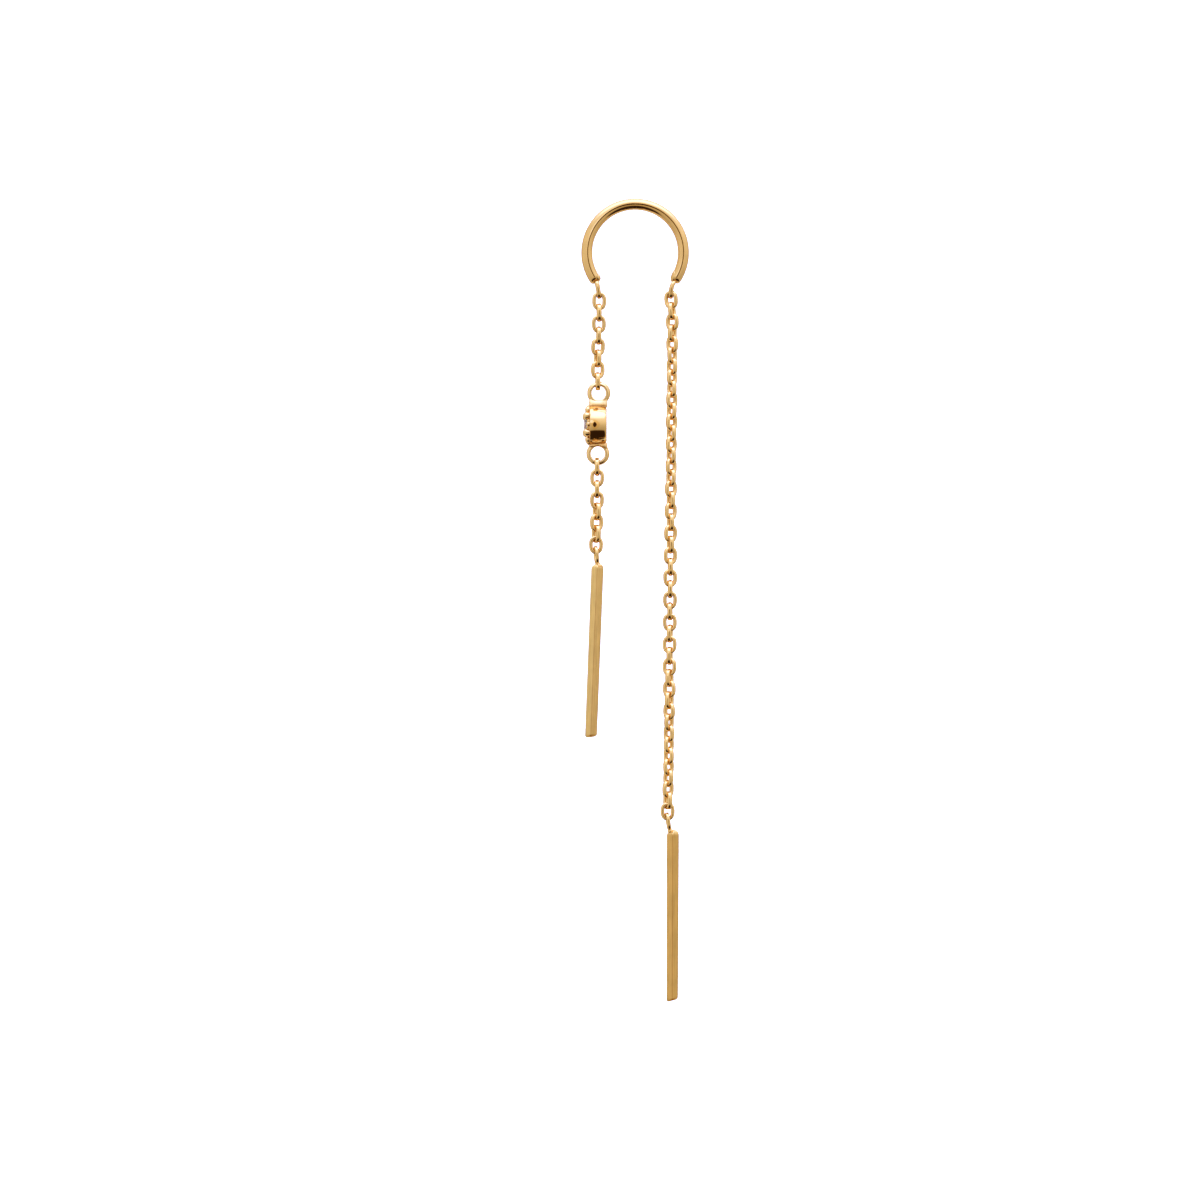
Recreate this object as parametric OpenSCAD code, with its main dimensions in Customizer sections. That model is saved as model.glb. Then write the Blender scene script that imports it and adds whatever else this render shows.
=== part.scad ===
// Chain drop earring: an arched ear hook with a chain from each end.
// The front chain carries a round set stone half way and ends in a square bar.
// The back chain is longer and ends in a like bar.
// X runs across the arch, stone side at -X. Z is up. The origin is the inside of the crown.

/* [Ear hook] */
// Thickness of the round hook wire
hook_wire_d = 1; // [0.8:0.05:1.1]
// Radius of the arch at the middle of the wire
arch_r = 4.35; // [4.1:0.05:4.6]
// How far each end of the arch goes on below the level of its centre, in degrees
arch_tuck = 36.2; // [34:0.2:38]

/* [Chain] */
// Outer length of one chain link
link_l = 1.66; // [1.6:0.02:1.7]
// Outer width of one chain link
link_w = 1.22; // [1.2:0.02:1.3]
// Thickness of the wire of a chain link
link_wire_d = 0.33; // [0.29:0.02:0.33]
// Outer diameter of the plain tube that a chain fills
chain_d = 1.2; // [1:0.05:1.25]

/* [Stone and setting] */
// Diameter of the round stone
stone_d = 2.36; // [2.2:0.02:2.36]
// Outer diameter of the setting's band
band_d = 3.4; // [3.35:0.05:3.5]
// Depth of the setting's band, front to back
band_depth = 1.58; // [1.5:0.02:1.7]
// Outer diameter of the rings above and below the band
ring_d = 2.08; // [2:0.02:2.1]
// Thickness of the wire of those rings
ring_wire_d = 0.4; // [0.36:0.02:0.42]

/* [Bars] */
// Length of the front bar
front_bar_l = 15.5; // [12:0.1:18]
// Length of the back bar
back_bar_l = 15.3; // [12:0.1:18]
// Side of the square bar
bar_side = 0.78; // [0.7:0.02:0.84]
// Width of the bar across its softened edges
bar_across = 1; // [0.94:0.02:1.04]
// Lean of the front bar from upright, in degrees
front_bar_lean = 2.2; // [0:0.1:4]

/* [Hidden] */

$fn = 48;
gold = "#D9B36C";
clear_stone = "#DDE6EA";

// Clearance between two pieces that hang on each other
hang_gap = 0.05;
// How far a soldered piece goes into what it is soldered to
solder = 0.12;
// How far a cutting shape goes past what it cuts
cut_past = 1;

// Ear hook: the arch, and the lowest point and lean of the loop under its +X end
crown_r = arch_r - hook_wire_d / 2;
hook_loop_foot = [3.19, 0, -8.02];
hook_loop_l = 1.76;
hook_loop_w = 1.02;
hook_loop_wire_d = 0.3;
hook_loop_bend = 0.34;
hook_loop_lean = 9;

// Bend radius of a chain link's corners, at the middle of its wire
link_bend = 0.33;

// Setting: its place along the chain, its axis along X, and the parts soldered to the band
band_z = -19.37;
band_front_x = -4.13;
upper_ring_at = [-3.27, 0, -16.5];
lower_ring_at = [-3.35, 0, -21.95];
saddle_w = 1.46;
saddle_depth = 0.5;
saddle_rise = 0.34;
saddle_root = 0.14;
grain_count = 12;
grains_by_side = 6;
side_grain = 3;
grain_ring_d = 2.92;
grain_post_d = 0.38;
grain_ball_d = 0.46;
grain_root = 0.3;
claw_rise = 0.58;
grain_rise = 0.34;
side_grain_rise = 0.26;

// Stone: girdle just proud of the band, table near the tops of the claws
crown_h = 0.44;
girdle_h = 0.06;
pavilion_h = 1.02;
table_share = 0.56;
table_d = stone_d * table_share;
culet_d = 0.06;
girdle_proud = 0.02;
stone_gap = 0.05;
back_hole_d = 1.5;

// Where each chain hangs, from its upper piece to its lower one
front_upper_route = [
    [-3.26, 0, -8.12], [-3.27, 0, -10.4], [-3.36, 0, -12.9], [-3.27, 0, -15.4]
];
front_lower_route = [
    [-3.37, 0, -23.05], [-3.42, 0, -25.1], [-3.47, 0, -27.2], [-3.52, 0, -29.28]
];
back_route = [
    [3.22, 0, -8.12], [3.34, 0, -10.6], [3.34, 0, -13.4], [3.3, 0, -16.4],
    [3.26, 0, -19.4], [3.23, 0, -22.4], [3.21, 0, -25.4], [3.2, 0, -28.4],
    [3.17, 0, -31.4], [3.15, 0, -34.4], [3.13, 0, -37.4], [3.11, 0, -40.4],
    [3.09, 0, -43.4], [3.06, 0, -46.4], [3.03, 0, -49.2], [2.98, 0, -51.4],
    [2.93, 0, -53.25]
];
tube_sides = 8;

// The axis that each bar swings on: the middle of the lowest wire of its chain's last link
front_pivot = [-3.52, 0, -30.83];
back_pivot = [2.93, 0, -54.81];
link_rise = link_l / 2 - link_wire_d / 2;

// Each bar, as it hangs from its pivot: the bar's middle beside it, the lean of its own link,
// the height of that link's middle, and the bar's top, soldered to the link
front_bar_x = 0.17;
back_bar_x = 0.44;
front_link_lean = -5;
back_link_lean = -6;
front_end_cut = 9;
back_end_cut = 16;
end_cut_back = 12;
own_link_z = link_wire_d + hang_gap - link_rise;
bar_top_z = own_link_z - link_l / 2 + solder;
bar_top_d = 0.56;
shoulder_slope = 1.1;

// A straight length of wire along Z, centred
module wire(length, d) {
    cylinder(h = length, d = d, center = true);
}

// A quarter bend of wire in the XZ plane, from +X round to +Z
module quarter_bend(bend, d) {
    rotate([90, 0, 0])
        rotate_extrude(angle = 90)
            translate([bend, 0])
                circle(d = d);
}

// A closed link in the XZ plane, long side upright: four bends and four straights
module link(length, width, d, bend) {
    straight_z = length - d - 2 * bend;
    straight_x = width - d - 2 * bend;
    for (side = [0, 1])
        mirror([side, 0, 0]) {
            translate([width / 2 - d / 2, 0, 0])
                wire(straight_z, d);
            for (end = [0, 1])
                mirror([0, 0, end])
                    translate([straight_x / 2, 0, straight_z / 2])
                        quarter_bend(bend, d);
        }
    for (end = [-1, 1])
        translate([0, 0, end * (length - d) / 2])
            rotate([0, 90, 0])
                wire(straight_x, d);
}

module chain_link() {
    link(link_l, link_w, link_wire_d, link_bend);
}

// Direction of a route at point i, from its neighbours
function route_way(route, i) =
    let (step = route[min(i + 1, len(route) - 1)] - route[max(i - 1, 0)])
    step / norm(step);

// One ring of tube points, square to the route, with the flats of the tube at the sides
function tube_ring(route, i, r) =
    let (way = route_way(route, i), across = [0, 1, 0], over = cross(way, across))
    [for (k = [0 : tube_sides - 1])
        let (turn = 360 * (k + 0.5) / tube_sides)
        route[i] + r * (cos(turn) * across + sin(turn) * over)];

// A closed tube swept along a route, with flat ends
module tube(route, d) {
    rings = len(route);
    r = d / 2 / cos(180 / tube_sides);
    points = [for (i = [0 : rings - 1]) each tube_ring(route, i, r)];
    walls = [for (i = [0 : rings - 2], k = [0 : tube_sides - 1])
        let (next = (k + 1) % tube_sides)
        [i * tube_sides + k, i * tube_sides + next,
         (i + 1) * tube_sides + next, (i + 1) * tube_sides + k]];
    first_cap = [for (k = [0 : tube_sides - 1]) tube_sides - 1 - k];
    last_cap = [for (k = [0 : tube_sides - 1]) (rings - 1) * tube_sides + k];
    polyhedron(points, concat(walls, [first_cap, last_cap]));
}

// The loop under the +X end of the arch: edge-on from the front, leaning out to the wire's end
module hook_loop() {
    translate(hook_loop_foot)
        rotate([0, hook_loop_lean, 0])
            translate([0, 0, hook_loop_l / 2])
                rotate([0, 0, 90])
                    link(hook_loop_l, hook_loop_w, hook_loop_wire_d, hook_loop_bend);
}

// The round wire arch, with a loop soldered under each end
module ear_hook() {
    color(gold)
        union() {
            translate([0, 0, -crown_r])
                rotate([90, 0, 0])
                    rotate_extrude(start = -arch_tuck, angle = 180 + 2 * arch_tuck)
                        translate([arch_r, 0])
                            circle(d = hook_wire_d);
            for (side = [0, 1])
                mirror([side, 0, 0])
                    hook_loop();
        }
}

module front_chain_upper() {
    color(gold) tube(front_upper_route, chain_d);
}

module front_chain_lower() {
    color(gold) tube(front_lower_route, chain_d);
}

module back_chain() {
    color(gold) tube(back_route, chain_d);
}

// Turns a shape built along +Z so that its +Z faces the stone side
module facing_front(at) {
    translate(at) rotate([0, -90, 0]) children();
}

// A ring of round wire, its hole facing the viewer
module hanging_ring(at) {
    translate(at)
        rotate([90, 0, 0])
            rotate_extrude()
                translate([(ring_d - ring_wire_d) / 2, 0])
                    circle(d = ring_wire_d);
}

// One grain: a post with a ball on it, rising from the band's face at z = 0
module grain(rise) {
    translate([0, 0, -grain_root])
        cylinder(h = grain_root + rise - grain_ball_d / 2, d = grain_post_d);
    translate([0, 0, rise - grain_ball_d / 2])
        sphere(d = grain_ball_d);
}

// Grain 0 is the top one. The four claws stand 2 grains from the top and the bottom,
// and the side grains between them are the lowest
function rise_of_grain(i) =
    let (from_side = abs(i % grains_by_side - side_grain))
    from_side == 0 ? side_grain_rise : (from_side == 1 ? claw_rise : grain_rise);

// Band, grains, saddles and the two rings, soldered into one
module stone_setting() {
    color(gold)
        union() {
            facing_front([band_front_x, 0, band_z])
                union() {
                    difference() {
                        translate([0, 0, -band_depth])
                            cylinder(h = band_depth, d = band_d);
                        stone_seat();
                    }
                    for (i = [0 : grain_count - 1])
                        rotate([0, 0, 360 * i / grain_count])
                            translate([grain_ring_d / 2, 0, 0])
                                grain(rise_of_grain(i));
                }
            hanging_ring(upper_ring_at);
            hanging_ring(lower_ring_at);
            for (end = [0, 1])
                translate([band_front_x + band_depth - saddle_w, 0, band_z])
                    mirror([0, 0, end])
                        translate([0, -saddle_depth / 2, band_d / 2 - saddle_root])
                            cube([saddle_w, saddle_depth, saddle_root + saddle_rise]);
        }
}

// The hollow that the stone sits in, open at the back
module stone_seat() {
    seat_z = girdle_proud - girdle_h - stone_gap;
    seat_d = stone_d + 2 * stone_gap;
    translate([0, 0, -band_depth - cut_past])
        cylinder(h = band_depth + 2 * cut_past, d = back_hole_d);
    translate([0, 0, seat_z])
        cylinder(h = cut_past, d = seat_d);
    translate([0, 0, seat_z - pavilion_h])
        cylinder(h = pavilion_h, d1 = culet_d, d2 = seat_d);
}

// The cut stone: pavilion, girdle and crown
module stone() {
    color(clear_stone)
        facing_front([band_front_x - girdle_proud, 0, band_z])
            union() {
                cylinder(h = crown_h, d1 = stone_d, d2 = table_d);
                translate([0, 0, -girdle_h])
                    cylinder(h = girdle_h, d = stone_d);
                translate([0, 0, -girdle_h - pavilion_h])
                    cylinder(h = pavilion_h, d1 = culet_d, d2 = stone_d);
            }
}

module front_end_link() {
    color(gold) translate(front_pivot) translate([0, 0, link_rise]) chain_link();
}

module back_end_link() {
    color(gold) translate(back_pivot) translate([0, 0, link_rise]) chain_link();
}

// Outline of a bar's reach, turned about its axis: a flat top, then a cone for the shoulder
module shoulder_outline(length) {
    reach = bar_across;
    cone_foot = -shoulder_slope * (reach - bar_top_d / 2);
    polygon([[0, 0], [bar_top_d / 2, 0], [reach, cone_foot], [reach, -length], [0, -length]]);
}

// A square bar seen on its edge, hanging down from z = 0, with a shouldered top.
// Its lower end is cut across at an angle, and leans back a little
module bar(length, end_cut) {
    blank_l = length + bar_across;
    difference() {
        intersection() {
            translate([0, 0, -blank_l])
                linear_extrude(blank_l)
                    intersection() {
                        rotate(45) square(bar_side, center = true);
                        circle(d = bar_across);
                    }
            rotate_extrude()
                shoulder_outline(blank_l + cut_past);
        }
        translate([0, 0, -length])
            rotate([-end_cut_back, -end_cut, 0])
                translate([0, 0, -bar_across])
                    cube([4 * bar_across, 4 * bar_across, 2 * bar_across], center = true);
    }
}

// A bar with its own link soldered on top, hung on the pivot at the origin
module hung_bar(length, end_cut, bar_x, bar_lean, link_lean) {
    union() {
        rotate([0, link_lean, 0])
            translate([0, 0, own_link_z])
                rotate([0, 0, 90])
                    chain_link();
        translate([bar_x, 0, bar_top_z])
            rotate([0, bar_lean, 0])
                bar(length, end_cut);
    }
}

module front_bar() {
    color(gold)
        translate(front_pivot)
            hung_bar(front_bar_l, front_end_cut, front_bar_x, front_bar_lean, front_link_lean);
}

module back_bar() {
    color(gold)
        translate(back_pivot)
            hung_bar(back_bar_l, back_end_cut, back_bar_x, 0, back_link_lean);
}

ear_hook();
front_chain_upper();
stone_setting();
stone();
front_chain_lower();
front_end_link();
front_bar();
back_chain();
back_end_link();
back_bar();
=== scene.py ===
import math

import bpy
import numpy as np
from bpy.props import FloatProperty, FloatVectorProperty, IntProperty, PointerProperty
from bpy.types import Operator, Panel, PropertyGroup
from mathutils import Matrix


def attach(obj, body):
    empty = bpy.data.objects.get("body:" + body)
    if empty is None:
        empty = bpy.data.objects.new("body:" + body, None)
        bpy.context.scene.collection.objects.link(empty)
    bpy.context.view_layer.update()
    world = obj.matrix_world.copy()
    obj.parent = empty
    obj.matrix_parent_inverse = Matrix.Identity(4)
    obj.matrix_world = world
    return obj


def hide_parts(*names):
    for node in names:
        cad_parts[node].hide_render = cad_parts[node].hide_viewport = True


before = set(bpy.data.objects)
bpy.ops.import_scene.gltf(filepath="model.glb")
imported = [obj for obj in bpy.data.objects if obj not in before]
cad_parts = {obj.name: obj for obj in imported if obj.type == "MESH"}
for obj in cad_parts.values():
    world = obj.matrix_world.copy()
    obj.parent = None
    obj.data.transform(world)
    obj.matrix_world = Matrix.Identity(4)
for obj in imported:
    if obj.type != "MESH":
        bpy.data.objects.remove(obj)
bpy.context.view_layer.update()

bl_info = {
    "name": "Chain drop earring",
    "version": (1, 0, 0),
    "blender": (4, 5, 0),
    "location": "3D View > Sidebar > Earring",
    "description": "Gives the packed earring its true links, setting, stone, bars and finishes",
    "category": "Add Mesh",
}

MM = 0.001
HANGING = "hook_and_chains"
LENGTHWISE = "lay"
# Each point's share of painted shade: a dark brown colour standing in for shade and for gold mirrored in gold, with
# a rougher surface. On the stone the same share only marks the matt girdle.
PAINTED_SHADE_AND_MATT = "painted_shade_and_matt"
SATIN = "satin"


# Sizes and colours that a user would change

def length_property(name, description, default_mm):
    """A length in metres, shown in the scene's unit, from a default in millimetres."""
    return FloatProperty(name=name, description=description, default=default_mm * MM, unit="LENGTH", precision=5)


def angle_property(name, description, default_degrees):
    return FloatProperty(name=name, description=description, default=math.radians(default_degrees), subtype="ANGLE")


def colour_property(name, description, default):
    return FloatVectorProperty(
        name=name, description=description, default=default, size=3, min=0, max=1, subtype="COLOR"
    )


def share_property(name, description, default):
    return FloatProperty(name=name, description=description, default=default, min=0, max=1, subtype="FACTOR")


class HookSizes(PropertyGroup):
    wire: length_property("Wire", "Thickness of the round hook wire", 1.0)
    arch: length_property("Arch radius", "Radius of the arch at the middle of the wire", 4.35)
    tuck: angle_property("Tuck", "How far each end goes on below the level of the arch's centre", 36.2)
    end_rounding: length_property("End rounding", "Rounding of the wire's two ends", 0.24)
    loop_length: length_property("Loop length", "Outer length of the loop under each end", 1.76)
    loop_width: length_property("Loop width", "Outer width of those loops", 1.02)
    loop_wire: length_property("Loop wire", "Thickness of the loops' wire", 0.42)
    end_turn: angle_property("End turn", "How far the cut ends face the viewer", 15)
    loop_lean: angle_property("Loop lean", "Lean of the loops, foot towards the arch's middle", 9)


class ChainSizes(PropertyGroup):
    length: length_property("Link length", "Outer length of one link", 1.68)
    width: length_property("Link width", "Outer width of one link", 1.29)
    wire: length_property("Wire", "Thickness of a link's wire at its ends, seen on its broad side", 0.335)
    side_wire: length_property("Side wire", "The same along the link's two sides", 0.365)
    depth: length_property("Depth", "Thickness of a link's wire, seen on the link's edge", 0.43)
    end_depth: length_property("End link depth", "The same on the round wire of the links at the bars", 0.33)
    unevenness: angle_property("Unevenness", "How far links turn out of line by chance", 3.5)


class SettingSizes(PropertyGroup):
    band: length_property("Band", "Outer diameter of the band", 3.4)
    depth: length_property("Depth", "Depth of the band, front to back", 1.58)
    barrel: length_property("Barrel", "How much the band's wall swells half way", 0.09)
    cone: length_property("Cone", "How much wider than half way the band's front is, and narrower its back", 0.07)
    ring: length_property("Ring", "Outer diameter of the rings above and below", 2.1)
    ring_wire: length_property("Ring wire", "Thickness of those rings' wire", 0.42)
    grains: IntProperty(name="Grains", description="Number of grains round the stone", default=12, min=6, max=24)
    grain_ring: length_property("Grain circle", "Diameter of the circle that the grains stand on", 3.04)


class StoneSizes(PropertyGroup):
    across: length_property("Across", "Diameter of the stone", 2.36)
    table: share_property("Table", "Width of the flat top, as a share of the stone's", 0.56)
    crown: length_property("Crown", "Height of the crown above the girdle", 0.44)
    pavilion: length_property("Pavilion", "Depth of the pavilion below the girdle", 1.02)
    girdle: length_property("Girdle", "Thickness of the girdle", 0.06)


class BarSizes(PropertyGroup):
    side: length_property("Side", "Side of the square bar, at the top", 0.82)
    across: length_property("Across the edges", "Width across the softened edges, at the top", 1.11)
    front_length: length_property("Front bar", "Length of the front bar", 15.65)
    back_length: length_property("Back bar", "Length of the back bar", 15.38)
    front_lean: angle_property("Front lean", "Lean of the front bar", 2.2)
    back_lean: angle_property("Back lean", "Lean of the back bar", 0.2)


class Finish(PropertyGroup):
    gold: colour_property("Gold", "Colour of the polished gold plating", (0.84, 0.53, 0.207))
    # A lighter copy of the gold: painted light that makes the chains, and the polished tops of the bars, brighter
    # than plain gold.
    chain_gold: colour_property("Chain gold", "Colour of the thin links' brighter plating", (0.91, 0.6, 0.25))
    soft_gold: colour_property("Soft gold", "Colour of the solder, rings and grains, mixed half in", (1, 0.7, 0.33))
    front_bar_gold: colour_property("Front bar gold", "Colour of the satin front bar", (0.77, 0.51, 0.19))
    # A darker copy of the front bar's satin gold: painted shade on the back bar.
    back_bar_gold_painted_shade: colour_property("Back bar gold", "Colour of the satin back bar", (0.71, 0.415, 0.122))
    # Painted shade: the dark brown that stands in for shade, and for gold that only mirrors gold, where a point's
    # share of painted shade is set.
    painted_shade_colour: colour_property("Painted shade", "Colour of the gold where it only mirrors gold", (0.55, 0.2, 0.03))
    floor: colour_property("Floor", "Colour of the plain floor", (0.98, 0.98, 0.98))


# Shapes

LINK_SQUARENESS = 2.4
WIRE_SQUARENESS = 2.5
LAY_STEP = np.array([0, 0, 7.3])


def mm(*values):
    """A place or size from millimetres."""
    return np.array(values) * MM


def stacked(*parts):
    """Points, or faces, from their parts, each spread over the shape of all of them together."""
    return np.stack(np.broadcast_arrays(*parts), -1)


def unit(vectors):
    return vectors / np.linalg.norm(vectors, axis=-1, keepdims=True)


def power(values, exponent):
    """The size of the values to the exponent, with their sign."""
    return np.sign(values) * np.abs(values) ** exponent


def round_steps(count):
    """Angles once round, evenly spaced, without the last one."""
    return np.linspace(0, 2 * math.pi, count, endpoint=False)


def smooth_step(values, low, high):
    """0 below low, 1 above high, and 3t^2 - 2t^3 between."""
    t = np.clip((values - low) / (high - low), 0, 1)
    return t * t * (3 - 2 * t)


def turned_y(points, angle):
    """The points turned about the Y axis, from +Z towards +X."""
    c, s = math.cos(angle), math.sin(angle)
    return points @ np.array([[c, 0, -s], [0, 1, 0], [s, 0, c]])


class Patch:
    """Closed surface: points and their four- and three-sided faces. Each point also has its place on
    the piece as if it were straightened, in millimetres, and its shares of painted shade and of satin (on the
    stone, the first only marks the matt girdle)."""

    def __init__(self, points, quads, tris, lay, painted_shade_and_matt=0.0, satin=0.0):
        self.points = np.asarray(points, float)
        self.quads = quads
        self.tris = tris
        self.lay = lay
        self.painted_shade_and_matt = np.zeros(len(self.points)) + painted_shade_and_matt
        self.satin = np.zeros(len(self.points)) + satin
        if self.volume() < 0:
            self.quads = self.quads[:, ::-1]
            self.tris = self.tris[:, ::-1]

    def volume(self):
        """Sum over all triangles of corner . (corner x corner) / 6, which is positive if faces point out."""
        halves = np.concatenate([self.quads[:, [0, 1, 2]], self.quads[:, [0, 2, 3]], self.tris])
        a, b, c = (self.points[halves[:, k]] for k in range(3))
        return np.einsum("ij,ij->i", a, np.cross(b, c)).sum() / 6


def moved(patch, points):
    """The patch with other points and the same faces."""
    return Patch(points, patch.quads, patch.tris, patch.lay, patch.painted_shade_and_matt, patch.satin)


def grid_faces(rows, columns, rows_join):
    """Four-sided faces over a grid of points. The columns join up, and the rows may."""
    row, column = np.meshgrid(np.arange(rows if rows_join else rows - 1), np.arange(columns), indexing="ij")
    here, below = row * columns, (row + 1) % rows * columns
    beside = (column + 1) % columns
    return stacked(here + column, below + column, below + beside, here + beside).reshape(-1, 4)


def fan(pole, ring):
    """Three-sided faces from a pole to each step of a ring."""
    return stacked(pole, ring, np.roll(ring, -1))


def closed_grid(points, lay, poles=None, painted_shade_and_matt=0.0, satin=0.0):
    """Surface over a grid of rows and columns of points. The columns join up. The rows join up too,
    or else the first and the last row each close on a pole."""
    rows, columns = points.shape[:2]
    quads = grid_faces(rows, columns, poles is None)
    tris = np.empty((0, 3), int)
    flat, flat_lay = points.reshape(-1, 3), lay.reshape(-1, 3)
    shares = [np.broadcast_to(share, (rows, columns)).ravel() for share in (painted_shade_and_matt, satin)]
    if poles is not None:
        ring, pole = np.arange(columns), rows * columns
        tris = np.concatenate([fan(pole, ring), fan(pole + 1, pole - columns + ring)[:, [0, 2, 1]]])
        flat = np.concatenate([flat, poles])
        flat_lay = np.concatenate([flat_lay, [lay[0].mean(0), lay[-1].mean(0)]])
        shares = [np.concatenate([share, share[[0, -1]]]) for share in shares]
    return Patch(flat, quads, tris, flat_lay, *shares)


def link_shape(length, width, wire, side_wire, depth, narrowing=0.03, steps=56, around=16):
    """One closed link about the origin, long side along Z, broad side facing Y. Its middle line is
    |x/a|^q + |z/b|^q = 1, narrower towards the bottom, and round that line goes
    |u/(wire/2)|^p + |v/(depth/2)|^p = 1, with the side wire's thickness half way up."""
    a, b = (width - side_wire) / 2, (length - wire) / 2
    s, t = round_steps(steps)[:, None], round_steps(around)
    x = a * power(np.cos(s), 2 / LINK_SQUARENESS)
    z = b * power(np.sin(s), 2 / LINK_SQUARENESS)
    outward_x = power(x / a, LINK_SQUARENESS - 1) / a
    outward_z = power(z / b, LINK_SQUARENESS - 1) / b
    size = np.hypot(outward_x, outward_z)
    thickness = wire + (side_wire - wire) * smooth_step(np.abs(np.cos(s)), 0.3, 0.9)
    u = thickness / 2 * power(np.cos(t), 2 / WIRE_SQUARENESS)
    v = depth / 2 * power(np.sin(t), 2 / WIRE_SQUARENESS)
    narrowed = x * (1 + narrowing * z / b)
    points = stacked(narrowed + outward_x / size * u, v, z + outward_z / size * u)
    lay = stacked(u, v, np.sin(s) * (a + b) / 2) / MM
    # Painted shade where the next links' wires rub, at both ends.
    return closed_grid(points, lay, painted_shade_and_matt=contact_painted_shade(points, b, wire))


def contact_painted_shade(points, middle_reach, wire):
    """Painted shade, deepest where the next link's wire rubs, half a wire inside each end of the link,
    and fading to 0: the distance is to a short line along Y at that height."""
    height = middle_reach - wire
    sideways = np.maximum(np.abs(points[..., 1]) - 0.25 * wire, 0)
    reach = np.sqrt(points[..., 0] ** 2 + sideways ** 2 + (np.abs(points[..., 2]) - height) ** 2)
    return 0.8 * (1 - smooth_step(reach, 0.5 * wire, 0.85 * wire))


def placed_link(link, centre, up, turn, number=0):
    """A copy of a link with its long side along up, turned about it from facing the viewer. Its points
    are centre + x side + y front + z up. The number keeps its fine lines unlike the other links'."""
    up = unit(up)
    side_0 = unit(np.cross((0, 1, 0), up))
    front_0 = np.cross(up, side_0)
    c, s = math.cos(turn), math.sin(turn)
    axes = np.stack([c * side_0 + s * front_0, c * front_0 - s * side_0, up])
    return Patch(centre + link.points @ axes, link.quads, link.tris, link.lay + LAY_STEP * number, link.painted_shade_and_matt)


def blob(centre, half_sizes, lean=0.0, rows=18, around=24):
    """A bead of solder: centre + the unit ball's points times the half sizes, turned by the lean."""
    v, t = np.linspace(-0.45 * math.pi, 0.45 * math.pi, rows)[:, None], round_steps(around)
    ball = stacked(np.cos(v) * np.cos(t), np.cos(v) * np.sin(t), np.sin(v))
    ends = np.array([[0, 0, -1], [0, 0, 1]])
    points, poles = (centre + turned_y(places * half_sizes, lean) for places in (ball, ends))
    return closed_grid(points, points / MM, poles=poles)


# Pieces from shapes

def make_piece(name, patches, body, nodes, material, smooth=True):
    """Joins closed patches into one mesh that rides on a CAD body and stands for its CAD nodes."""
    starts = np.cumsum([0] + [len(p.points) for p in patches])
    faces = []
    for patch, start in zip(patches, starts):
        faces += (patch.quads + start).tolist()
        faces += (patch.tris + start).tolist()
    points = np.concatenate([p.points for p in patches])
    mesh = bpy.data.meshes.new(name)
    mesh.from_pydata(points.tolist(), [], faces)
    lay = mesh.attributes.new(LENGTHWISE, "FLOAT_VECTOR", "POINT")
    lay.data.foreach_set("vector", np.concatenate([p.lay for p in patches]).astype(np.float32).ravel())
    # The shares of painted shade and of satin go on the mesh as point attributes.
    for share in (PAINTED_SHADE_AND_MATT, SATIN):
        values = np.concatenate([getattr(p, share) for p in patches]).astype(np.float32)
        mesh.attributes.new(share, "FLOAT", "POINT").data.foreach_set("value", values)
    mesh.polygons.foreach_set("use_smooth", np.full(len(faces), smooth))
    mesh.materials.append(material)
    mesh.validate()
    mesh.update()
    piece = bpy.data.objects.new(name, mesh)
    bpy.context.scene.collection.objects.link(piece)
    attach(piece, body)
    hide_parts(*nodes)
    return piece


# Finishes

class Graph:
    """A node tree, with one short call for each node. A value is an output socket or a plain value."""

    def __init__(self, tree):
        self.tree = tree

    def fill(self, node, inputs):
        """Links or sets a node's inputs. A colour of three parts gets its fourth here."""
        for name, value in inputs.items():
            socket = node.inputs[name]
            if isinstance(value, bpy.types.NodeSocket):
                self.tree.links.new(value, socket)
            else:
                socket.default_value = (*value, 1) if socket.type == "RGBA" else value

    def node(self, kind, inputs, output=0, **settings):
        """Makes a node and returns one of its outputs, by its number or name."""
        node = self.tree.nodes.new("ShaderNode" + kind)
        for name, value in settings.items():
            setattr(node, name, value)
        self.fill(node, inputs)
        return node.outputs[output]

    def chain(self, operation, first, *others):
        """The values joined by Math nodes, one after the other."""
        for other in others:
            first = self.node("Math", {0: first, 1: other}, operation=operation)
        return first

    def add(self, *values):
        return self.chain("ADD", *values)

    def times(self, *values):
        return self.chain("MULTIPLY", *values)

    def soft(self, value, low, high, to_low=0.0, to_high=1.0):
        """A smooth step of a value, from to_low at low to to_high at high."""
        ends = {"Value": value, "From Min": low, "From Max": high, "To Min": to_low, "To Max": to_high}
        return self.node("MapRange", ends, "Result", interpolation_type="SMOOTHSTEP")

    def mix(self, factor, first, second, blend="MIX"):
        """Two colours mixed."""
        return self.node("Mix", {0: factor, 6: first, 7: second}, 2, data_type="RGBA", blend_type=blend)

    def noise(self, vector, scale, detail, roughness=0.5):
        inputs = {"Vector": vector, "Scale": scale, "Detail": detail, "Roughness": roughness}
        return self.node("TexNoise", inputs, "Fac")

    def scaled(self, vector, scale):
        """The vector with each part scaled."""
        return self.node("VectorMath", {0: vector, 1: scale}, operation="MULTIPLY")

    def attribute(self, name, output="Fac"):
        return self.node("Attribute", {}, output, attribute_name=name)

    def place(self):
        """The point's place on the object, in metres."""
        return self.node("TexCoord", {}, "Object")


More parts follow.
